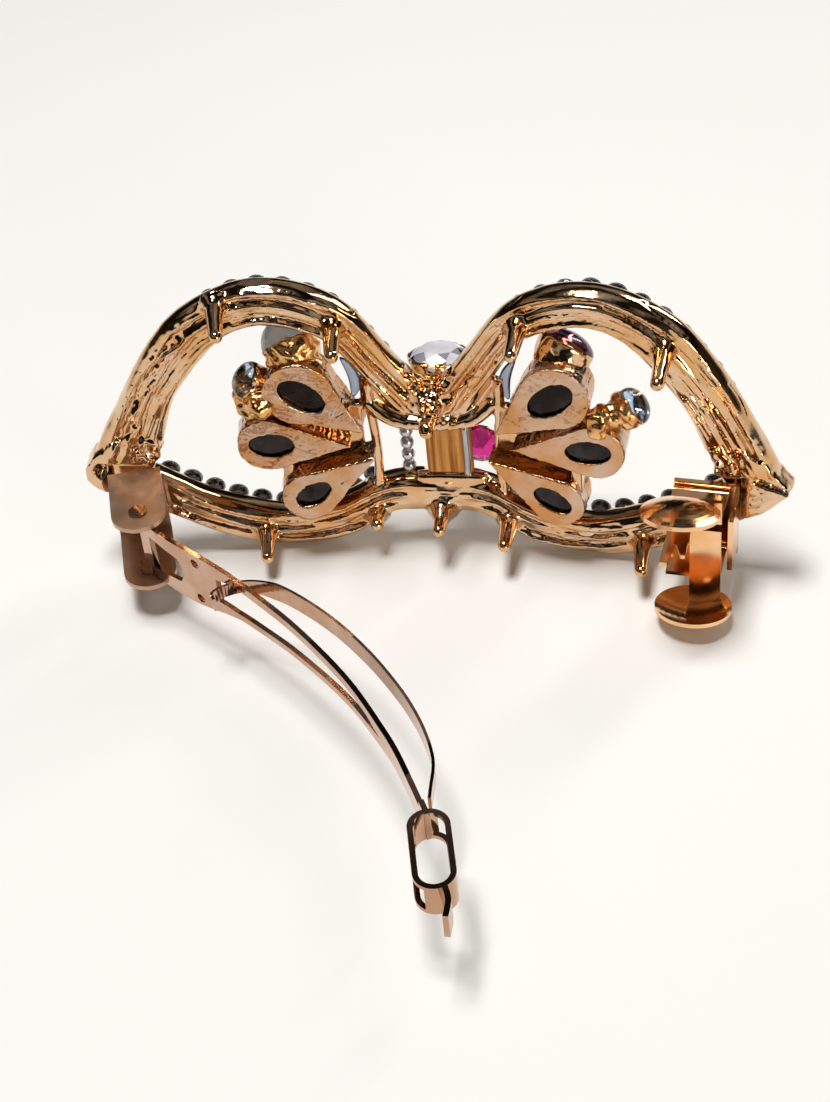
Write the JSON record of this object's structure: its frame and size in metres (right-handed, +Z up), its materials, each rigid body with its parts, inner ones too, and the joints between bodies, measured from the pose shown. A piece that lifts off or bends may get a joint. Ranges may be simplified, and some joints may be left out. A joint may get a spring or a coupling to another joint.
{
  "type": "hair clip",
  "caption": "Bow-shaped cast hair ornament set with rhinestones, with a hinged barrette arm, a bowed tension strip and a sprung pinch latch on its back.",
  "frame": {"origin": "middle of the knot, in the middle plane of the band castings, where a gripped lock of hair crosses behind it", "axes": "X along the bow, +Y towards the stone side, +Z up when the bow is upright"},
  "size_m": [0.0858, 0.0791, 0.0379],
  "materials": {
    "rose_gold": "polished rose gold plating over a zinc casting",
    "clip_plate": "polished rose gold plating over spring steel",
    "clear_crystal": "clear faceted crystal",
    "smoke_crystal": "smoke grey faceted crystal",
    "magenta_crystal": "magenta faceted crystal",
    "aurora_crystal": "blue crystal with an iridescent coat",
    "silver_bead": "polished silver"
  },
  "bodies": {
    "ornament": {"bow_frame": "rose_gold", "left_upper_stones": "clear_crystal", "left_lower_stones": "clear_crystal", "right_upper_stones": "clear_crystal", "right_lower_stones": "clear_crystal", "left_upper_cup": "rose_gold", "left_middle_cup": "rose_gold", "left_lower_cup": "rose_gold", "right_upper_cup": "rose_gold", "right_middle_cup": "rose_gold", "right_lower_cup": "rose_gold", "left_upper_pear": "smoke_crystal", "left_middle_pear": "smoke_crystal", "left_lower_pear": "smoke_crystal", "right_upper_pear": "smoke_crystal", "right_middle_pear": "smoke_crystal", "right_lower_pear": "smoke_crystal", "left_smoke_setting": "rose_gold", "right_smoke_setting": "rose_gold", "left_smoke_stone": "smoke_crystal", "right_smoke_stone": "magenta_crystal", "left_side_setting": "rose_gold", "right_side_setting": "rose_gold", "left_side_stone": "aurora_crystal", "right_side_stone": "aurora_crystal", "left_crescent": "aurora_crystal", "right_crescent": "aurora_crystal", "knot_pillar": "rose_gold", "bead_column": "silver_bead", "magenta_stone": "magenta_crystal", "crystal_setting": "rose_gold", "knot_crystal": "clear_crystal", "hinge_bracket": "clip_plate", "latch_base": "clip_plate"},
    "arm": {"clip_arm": "clip_plate", "tension_strip": "clip_plate"},
    "upper_jaw": {"latch_upper_jaw": "clip_plate"},
    "lower_jaw": {"latch_lower_jaw": "clip_plate"}
  },
  "joints": [
    {"name": "arm_hinge", "type": "hinge", "parent": "ornament", "child": "arm", "pos_m": [-0.03367, -0.01461, -0.003], "axis": [0, 0, -1], "range_deg": [-48, 35]},
    {"name": "upper_squeeze", "type": "hinge", "parent": "ornament", "child": "upper_jaw", "pos_m": [0.03146, -0.00719, 0.00115], "axis": [0.9925, -0.1219, 0], "range_deg": [0, 4], "stiffness_Nm_per_rad": 0.05},
    {"name": "lower_squeeze", "type": "hinge", "parent": "ornament", "child": "lower_jaw", "pos_m": [0.03146, -0.00719, -0.00715], "axis": [-0.9925, 0.1219, 0], "range_deg": [0, 4], "stiffness_Nm_per_rad": 0.05}
  ],
  "couplings": [
    {"joint": "lower_squeeze", "follows": "upper_squeeze", "ratio": 1}
  ]
}
